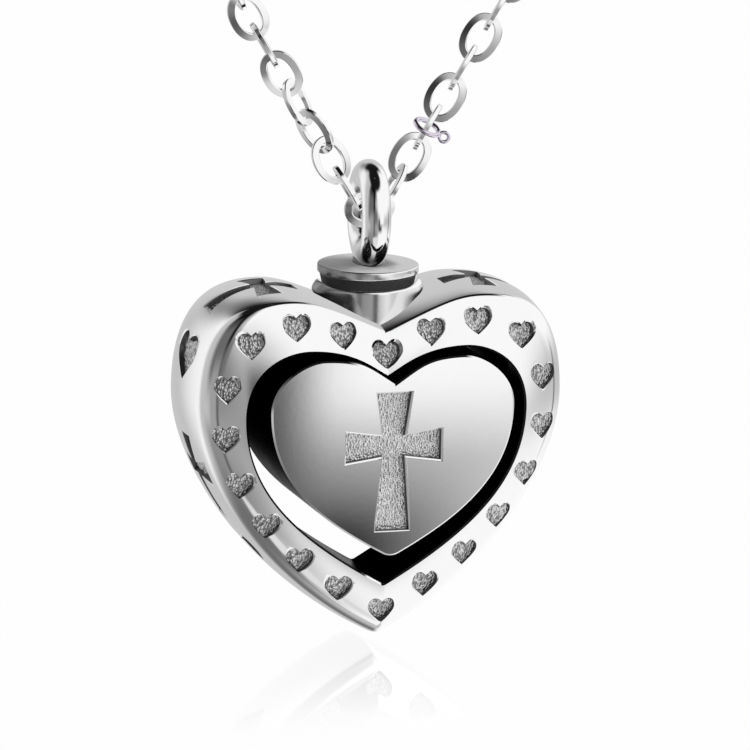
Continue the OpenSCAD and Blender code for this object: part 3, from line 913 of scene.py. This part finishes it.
w, t = chain["wire"][0] / 2 + 0.02, chain["wire"][1] / 2
bevel = 0.04
nearSection = [(w, -t + bevel), (w, t - bevel), (w - bevel, t), (bevel - w, t),
               (-w, t - bevel), (-w, bevel - t), (bevel - w, -t), (w - bevel, -t)]
nearLink = linkPiece("nearLink", 44, nearSection)
farLink = linkPiece("farLink", 14, [(w, -t), (w, t), (-w, t), (-w, -t)])
apex = Matrix.Translation((0, 0, bailCentre + apexUp * mm))
links = [copyPiece(nearLink, apex @ Matrix.Rotation(math.pi / 2, 4, "X"))]
for side in (-1, 1):
    for i in range(1, sideCount + 1):
        model = nearLink if i <= chain["near"] else farLink
        links.append(copyPiece(model, runAt(side, firstS + (i - 1) * pitch, rollOf(side, i))))
for model in (nearLink, farLink):
    bpy.data.objects.remove(model)
chainLinks = joinPieces(links, "chainLinks")
chainLinks.data.materials.append(linkSteel)
smoothPiece(chainLinks, 30)
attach(chainLinks, "necklace")
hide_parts("chain")
chainLinks.visible_glossy = False
print("chain of", 2 * sideCount + 1, "links,", len(chainLinks.data.polygons), "faces")

# charm ring on the third link on the right: a wire ring with a small eye
charm = {
    "outer": 1.8, "wire": 0.15, "eye": 0.78, "eyeWire": 0.11, "eyeDrop": 0.1,
    "ringTurn": -24, "eyeTurn": -80, "link": 3, "offLink": 0.05,
}
meanRadius = charm["outer"] / 2 - charm["wire"]
eyeRadius = charm["eye"] / 2 - charm["eyeWire"]
sideways = (chain["link"][1] - chain["wire"][0]) / 2 + charm["offLink"]
place = (runAt(1, firstS + (charm["link"] - 1) * pitch, rollOf(1, charm["link"]))
         @ Matrix.Translation((0, -sideways * mm, 0)))
eyeMiddle = Vector((0, 0, -(meanRadius + eyeRadius + charm["eyeDrop"]) * mm))
ringTurn, eyeTurn = [Matrix.Rotation(math.radians(charm[key]), 3, "Z") for key in ("ringTurn", "eyeTurn")]
ring = loftPiece("ring", torusLoops(Vector((0, 0, 0)), meanRadius, charm["wire"], ringTurn, 56, 16), "ring")
eye = loftPiece("eye", torusLoops(eyeMiddle, eyeRadius, charm["eyeWire"], eyeTurn, 36, 12), "ring")
charmRing = joinPieces([ring, eye], "charmRing")
charmRing.data.transform(place)
charmRing.data.materials.append(violetSteel)
smoothPiece(charmRing)
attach(charmRing, "necklace")
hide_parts("charm_ring")
charmRing.visible_glossy = False

# clasp behind the neck: a barrel with a collar and an eye at each end
clasp = {"eye": 0.95, "eyeWire": 0.28, "collar": 0.2}
lastS = firstS + (sideCount - 1) * pitch
eyeS = lastS + chain["link"][0] / 2 - chain["wire"][0] - chain["gap"] - clasp["eyeWire"] + clasp["eye"]
eyePlace = runAt(1, eyeS, 0).translation / mm
half = eyePlace.x - clasp["eye"] + 0.1
radius = chain["claspRadius"]
profile = [(0.3, -half), (radius - 0.3, -half), (radius - 0.08, -half + 0.08), (radius, -half + 0.2),
           (radius + 0.12, -half + 0.24), (radius + 0.2, -half + 0.34), (radius + 0.2, -half + 0.9),
           (radius + 0.12, -half + 1.0), (radius, -half + 1.0), (radius, -0.12), (radius - 0.08, -0.05)]
profile += [(r, -z) for r, z in reversed(profile)]
barrel = loftPiece("barrel", turnLoops(profile, 64), "fill")
barrel.data.transform(Matrix.Translation((0, 0, eyePlace.z * mm)) @ Matrix.Rotation(math.pi / 2, 4, "Y")
                      @ Matrix.Translation((0, 0, -cleft)))
parts = [barrel]
for side in (-1, 1):
    turn = (Matrix.Rotation(math.radians(rollOf(side, sideCount) + 90), 3, "X")
            @ Matrix.Rotation(math.pi / 2, 3, "Y"))
    parts.append(loftPiece("claspEye", torusLoops(Vector((side * eyePlace.x, 0, eyePlace.z)) * mm, clasp["eye"],
                                                  clasp["eyeWire"], turn, 40, 14), "ring"))
claspBarrel = joinPieces(parts, "claspBarrel")
claspBarrel.data.materials.append(linkSteel)
smoothPiece(claspBarrel, 40)
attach(claspBarrel, "necklace")
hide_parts("clasp")
print("charm ring and clasp made")

# studio: pale floor just below the tip, and a surround of soft boxes and dark cards that the steel mirrors
studio = {
    "floorGap": 0.4, "floorSize": 8.0, "page": 0.99, "base": 0.6,
    "mirror": 0.42, "mirrorRough": 0.04,                        # faint reflection under the tip
    "fade": (-0.024, -0.003), "behind": (0.03, 0.005),          # where it sets in, in front and behind, in m
}
# each panel: azimuth and elevation of its middle, half sizes and softness both ways in degrees, brightness;
# a later one covers an earlier one
panels = {
    "rightBox": (75, 19, 82, 46, 8, 8, 1.1),
    "rightGap": (96, -9, 55, 10, 11, 9, 0.61),
    "lowGap": (45, -14, 61, 1, 10, 6, 0.64),
    "lowRightBox": (78, -41, 78, 21, 10, 10, 1.1),
    "leftCard": (-56, 23, 30, 28, 11, 10, 0.16),
    "leftShade": (-31, -9, 40, 15, 7, 13, 0.39),
    "lowLeftCard": (-52, -47, 43, 25, 13, 10, 0.3),
    "backLeftBox": (-138, 0, 18, 41, 13, 15, 1.03),
    "backCard": (187, 39, 17, 23, 10, 10, 0.31),
    "underBox": (-2, -77, 62, 21, 11, 10, 1.08),
    "nearCard": (-25, 4, 14, 14, 8, 10, 0.19),
    "lensCard": (13, -21, 13, 7, 13, 7, 0.0),
    "lowBackCard": (-111, -57, 79, 13, 12, 11, 0.18),
    "lowNearBox": (-25, -53, 22, 14, 9, 3, 0.85),
    "farCard": (162, 12, 22, 22, 9, 8, 0.66),
    "edgeCard": (4, -12, 5.5, 10, 3, 5, 0.08),
    "lowStripCard": (-36, -8, 6, 30, 6, 5, 0.14),
    "stripCard": (-36, 56, 7, 42, 6, 10, 0.004),
    "wedgeCard": (-50, 66, 34, 24, 14, 13, 0.003),
    "neckCard": (89, -12, 4, 13, 5, 8, 0.15),
    "topBackCard": (168, 68, 42, 32, 12, 8, 0.01),
    "topCard": (0, 94, 180, 36, 5, 6, 0.01),
}


def makeFloor():
    bpy.ops.object.select_all(action="DESELECT")
    level = cleft + (frameHeart["tip"] - frameBand["bulge"] - studio["floorGap"]) * mm
    bpy.ops.mesh.primitive_plane_add(size=studio["floorSize"], location=(0, 0, level))
    floor = bpy.context.object
    floor.name = floor.data.name = "floor"
    editPiece(floor)
    bpy.ops.mesh.subdivide(number_cuts=8)
    bpy.ops.object.mode_set(mode="OBJECT")
    bpy.ops.object.transform_apply(location=True, rotation=False, scale=False)
    # white page that mirrors a little just in front of the tip and no more further out
    material = bpy.data.materials.new("paleFloor")
    tree = newNodes(material)
    out = addNode(tree, "ShaderNodeOutputMaterial", (600, 0))
    page = addNode(tree, "ShaderNodeEmission", (100, 100))
    gloss = addNode(tree, "ShaderNodeBsdfGlossy", (100, -100))
    gloss.inputs["Roughness"].default_value = studio["mirrorRough"]
    gloss.inputs["Color"].default_value = (1, 1, 1, 1)
    place = addNode(tree, "ShaderNodeTexCoord", (-900, 0))
    split = addNode(tree, "ShaderNodeSeparateXYZ", (-700, 0))
    tree.links.new(place.outputs["Object"], split.inputs[0])
    depth = split.outputs["Y"]
    fade = addRange(tree, (-500, 0), depth, studio["fade"], (0, studio["mirror"]), "SMOOTHSTEP")
    behind = addRange(tree, (-500, -300), depth, studio["behind"], kind="SMOOTHSTEP")
    share = addMath(tree, "MULTIPLY", fade, behind)
    # the page is lit up where it mirrors, so that it stays one white
    ratio = addMath(tree, "DIVIDE", share, addMath(tree, "SUBTRACT", 1, share))
    mirrored = panelLevel(180 + cameraSettings["azimuth"], cameraSettings["elevation"])
    lift = addMath(tree, "MULTIPLY_ADD", ratio, studio["page"] - mirrored, studio["page"])
    tree.links.new(lift, page.inputs["Strength"])
    mix = addNode(tree, "ShaderNodeMixShader", (350, 0))
    for source, socket in zip((share, page.outputs[0], gloss.outputs[0]), mix.inputs):
        tree.links.new(source, socket)
    tree.links.new(mix.outputs[0], out.inputs[0])
    floor.data.materials.append(material)
    floor.visible_glossy = False


def panelLevel(azimuth, elevation):
    # brightness of the surround in one direction
    level = studio["base"]
    for a, e, halfAcross, halfUp, softAcross, softUp, bright in panels.values():
        away = (abs((azimuth - a + 180) % 360 - 180), abs(elevation - e))
        cover = 1
        for distance, half, soft in zip(away, (halfAcross, halfUp), (softAcross, softUp)):
            t = min(1, max(0, (half + soft - distance) / (2 * soft)))
            cover *= t * t * (3 - 2 * t)
        level += (bright - level) * cover
    return level


def makeSurround():
    world = bpy.data.worlds.new("studio")
    bpy.context.scene.world = world
    tree = newNodes(world)
    link = tree.links.new

    def within(distance, half, soft):
        return addRange(tree, (0, 0), distance, (half + soft, half - soft), kind="SMOOTHSTEP")

    place = addNode(tree, "ShaderNodeTexCoord")
    split = addNode(tree, "ShaderNodeSeparateXYZ")
    link(place.outputs["Generated"], split.inputs[0])
    x, y, z = split.outputs
    turn = addMath(tree, "ARCTAN2", x, addMath(tree, "MULTIPLY", y, -1.0))
    azimuth = addMath(tree, "MULTIPLY", turn, 180 / math.pi)
    elevation = addMath(tree, "MULTIPLY", addMath(tree, "ARCSINE", z), 180 / math.pi)
    level = None
    for a, e, halfAcross, halfUp, softAcross, softUp, bright in panels.values():
        away = addMath(tree, "WRAP", addMath(tree, "SUBTRACT", azimuth, a), 180.0, -180.0)
        across = addMath(tree, "ABSOLUTE", away)
        up = addMath(tree, "ABSOLUTE", addMath(tree, "SUBTRACT", elevation, e))
        cover = addMath(tree, "MULTIPLY", within(across, halfAcross, softAcross), within(up, halfUp, softUp))
        mix = addNode(tree, "ShaderNodeMix", data_type="FLOAT")
        link(cover, mix.inputs["Factor"])
        if level:
            link(level, mix.inputs["A"])
        else:
            mix.inputs["A"].default_value = studio["base"]
        mix.inputs["B"].default_value = bright
        level = mix.outputs["Result"]
    lit = addNode(tree, "ShaderNodeBackground")
    link(level, lit.inputs["Color"])
    pale = addNode(tree, "ShaderNodeBackground")
    pale.inputs["Color"].default_value = (*(studio["page"],) * 3, 1)
    ray = addNode(tree, "ShaderNodeLightPath")
    choose = addNode(tree, "ShaderNodeMixShader")
    out = addNode(tree, "ShaderNodeOutputWorld")
    for source, socket in zip((ray.outputs["Is Camera Ray"], lit.outputs[0], pale.outputs[0]), choose.inputs):
        link(source, socket)
    link(choose.outputs[0], out.inputs[0])


def addSoftLight(name, azimuth, elevation, power, size):
    back = directionAt(azimuth, elevation)
    data = bpy.data.lights.new(name, "AREA")
    data.shape = "SQUARE"
    data.size = size
    data.energy = power
    light = bpy.data.objects.new(name, data)
    bpy.context.scene.collection.objects.link(light)
    light.location = Vector((0, 0, cleft)) + back * 0.6
    light.rotation_mode = "QUATERNION"
    light.rotation_quaternion = (-back).to_track_quat("-Z", "Y")
    light.visible_glossy = False
    light.visible_camera = False


makeFloor()
makeSurround()
addSoftLight("keyLight", 35, 50, 2.0, 0.3)
bpy.context.scene.view_settings.view_transform = "Standard"
print("studio made")
